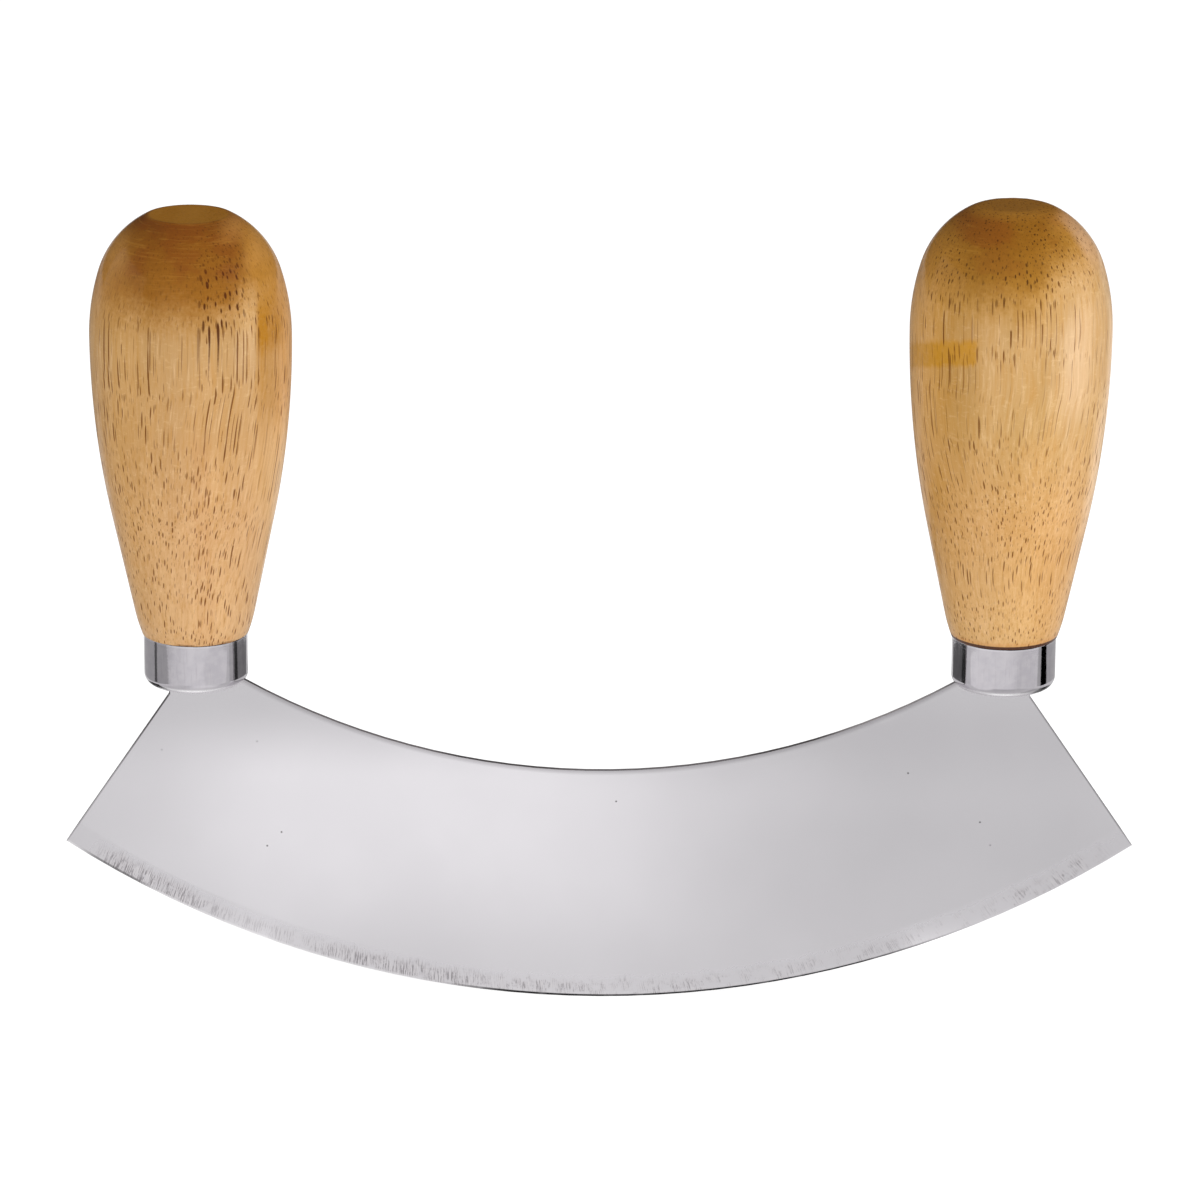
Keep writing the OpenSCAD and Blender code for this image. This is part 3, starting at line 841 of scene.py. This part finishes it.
def world():
    """A soft room: light from the front and sides, dim above, and dark where lacquer would mirror it."""
    made = bpy.data.worlds.new("studio")
    bpy.context.scene.world = made
    made.use_nodes = True
    g = Graph(made.node_tree)
    made.node_tree.nodes.clear()
    direction = g.node("ShaderNodeTexCoord").outputs["Generated"]
    _, depth, height = g.split(direction)
    tone = g.ramp(g.most(height, 0.0), ROOM_LIGHT)
    tone = g.mix(g.step(depth, 0.3, -0.6, 0.30, 0.0), tone, grey(0.0))
    path = g.node("ShaderNodeLightPath")
    tone = g.mix(path.outputs["Is Glossy Ray"], tone, grey(0.02))
    tone = g.mix(path.outputs["Is Camera Ray"], tone, grey(1.0))
    shader = g.node("ShaderNodeBackground", {"Color": tone, "Strength": 1.0})
    g.node("ShaderNodeOutputWorld", {0: shader.outputs[0]})


def lamp(name, place, width, height, power):
    """An area lamp aimed at the middle of the object. Glossy rays don't meet it."""
    data = bpy.data.lights.new(name, "AREA")
    data.shape, data.size, data.size_y, data.energy = "RECTANGLE", width, height, power
    made = bpy.data.objects.new(name, data)
    bpy.context.scene.collection.objects.link(made)
    made.location = place
    made.visible_glossy = False
    made.rotation_euler = (LAMP_TARGET - Vector(place)).to_track_quat("-Z", "Y").to_euler()


def card(name, shade, corners):
    """A grey card that only glossy rays meet: what bright metal and lacquer mirror in a studio."""
    material, g = bare_material(name)
    glow = g.node("ShaderNodeEmission", {"Color": grey(shade), "Strength": 1.0})
    g.node("ShaderNodeOutputMaterial", {0: glow.outputs[0]})
    piece = flat_sheet(name, [tuple(v * MM for v in corner) for corner in corners], material)
    piece.visible_camera = piece.visible_diffuse = piece.visible_shadow = piece.visible_transmission = False


def level(*corners, z=1):
    """Corners in mm of a card that lies level, just above the table unless z says otherwise."""
    return [(x, y, z) for x, y in corners]


def oblong(x0, x1, y0, y1, z=1):
    """A level card with its sides along x and y."""
    return level((x0, y0), (x1, y0), (x1, y1), (x0, y1), z=z)


def upright(start, end, z0, z1):
    """A standing card over the line from start to end."""
    return [start + (z0,), end + (z0,), end + (z1,), start + (z1,)]


LAMP_TARGET = Vector((0.0, 0.0, 0.09))
# Name, place in m, width and height in m, and power in W
LAMPS = (("key", (0.62, -0.30, 0.50), 0.40, 0.50, 3.2), ("fill", (-0.45, -1.10, 0.35), 0.80, 0.60, 4.6))
# Name, brightness and corners. Most are named for the ferrule, and the part of it, that mirrors them
CARDS = (
    ("left_inner_glow", 0.86, oblong(-60, -6, -70, -23, 55)),
    ("right_inner_glow", 0.96, oblong(60, 6, -75, -17, 55)),
    ("left_foot_glow", 1.0, oblong(-106, -70, -17, 8, 3)),
    ("right_foot_glow", 1.0, oblong(66, 98, -17, 8, 3)),
    ("left_inner_shade", 0.52, oblong(118, 180, -34, 12)),
    ("left_inner_dim", 0.22, oblong(118, 180, 12, 31)),
    ("left_inner_line", 0.03, level((118, 31), (180, 31), (176, 72), (118, 72))),
    ("left_inner_arc_low", 0.22, level((118, 72), (176, 72), (120, 165), (88, 128))),
    ("left_inner_arc_high", 0.20, level((88, 128), (120, 165), (30, 228), (16, 182))),
    ("right_inner_line", 0.03, level((-180, 14), (-124, 14), (-124, 70), (-178, 70))),
    ("right_inner_arc_low", 0.12, level((-178, 70), (-124, 70), (-90, 128), (-122, 165))),
    ("right_inner_arc_high", 0.13, level((-122, 165), (-90, 128), (-16, 182), (-26, 228))),
    ("right_outer_shade", 0.50, oblong(250, 420, -50, -12)),
    ("right_outer_line", 0.0, oblong(250, 420, -12, 66)),
    ("right_outer_patch", 0.50,
     level((250, 66), (420, 66), (420, 240), (140, 270), (125, 206), (215, 150))),
    ("left_outer_patch", 0.45, level((-440, -118), (-230, -118), (-190, 210), (-440, 260))),
    ("left_outer_line", 0.11, oblong(-430, -230, 6, 38, 2)),
    ("far_table", 0.30, oblong(-900, 900, 332, 1400)),
    ("window", 2.4, upright((278, -252), (351, -76), 6, 121)),
    ("right_glow", 1.3, upright((142, -31), (142, 2), 110, 150)),
    ("side_card", 0.6, upright((250, -40), (250, 40), 60, 255)),
    ("left_wall", 0.45, upright((-520, -300), (-520, 300), 60, 420)))

floor()
world()
for name, place, width, height, power in LAMPS:
    lamp(name, place, width, height, power)
for name, shade, corners in CARDS:
    card(name, shade, corners)
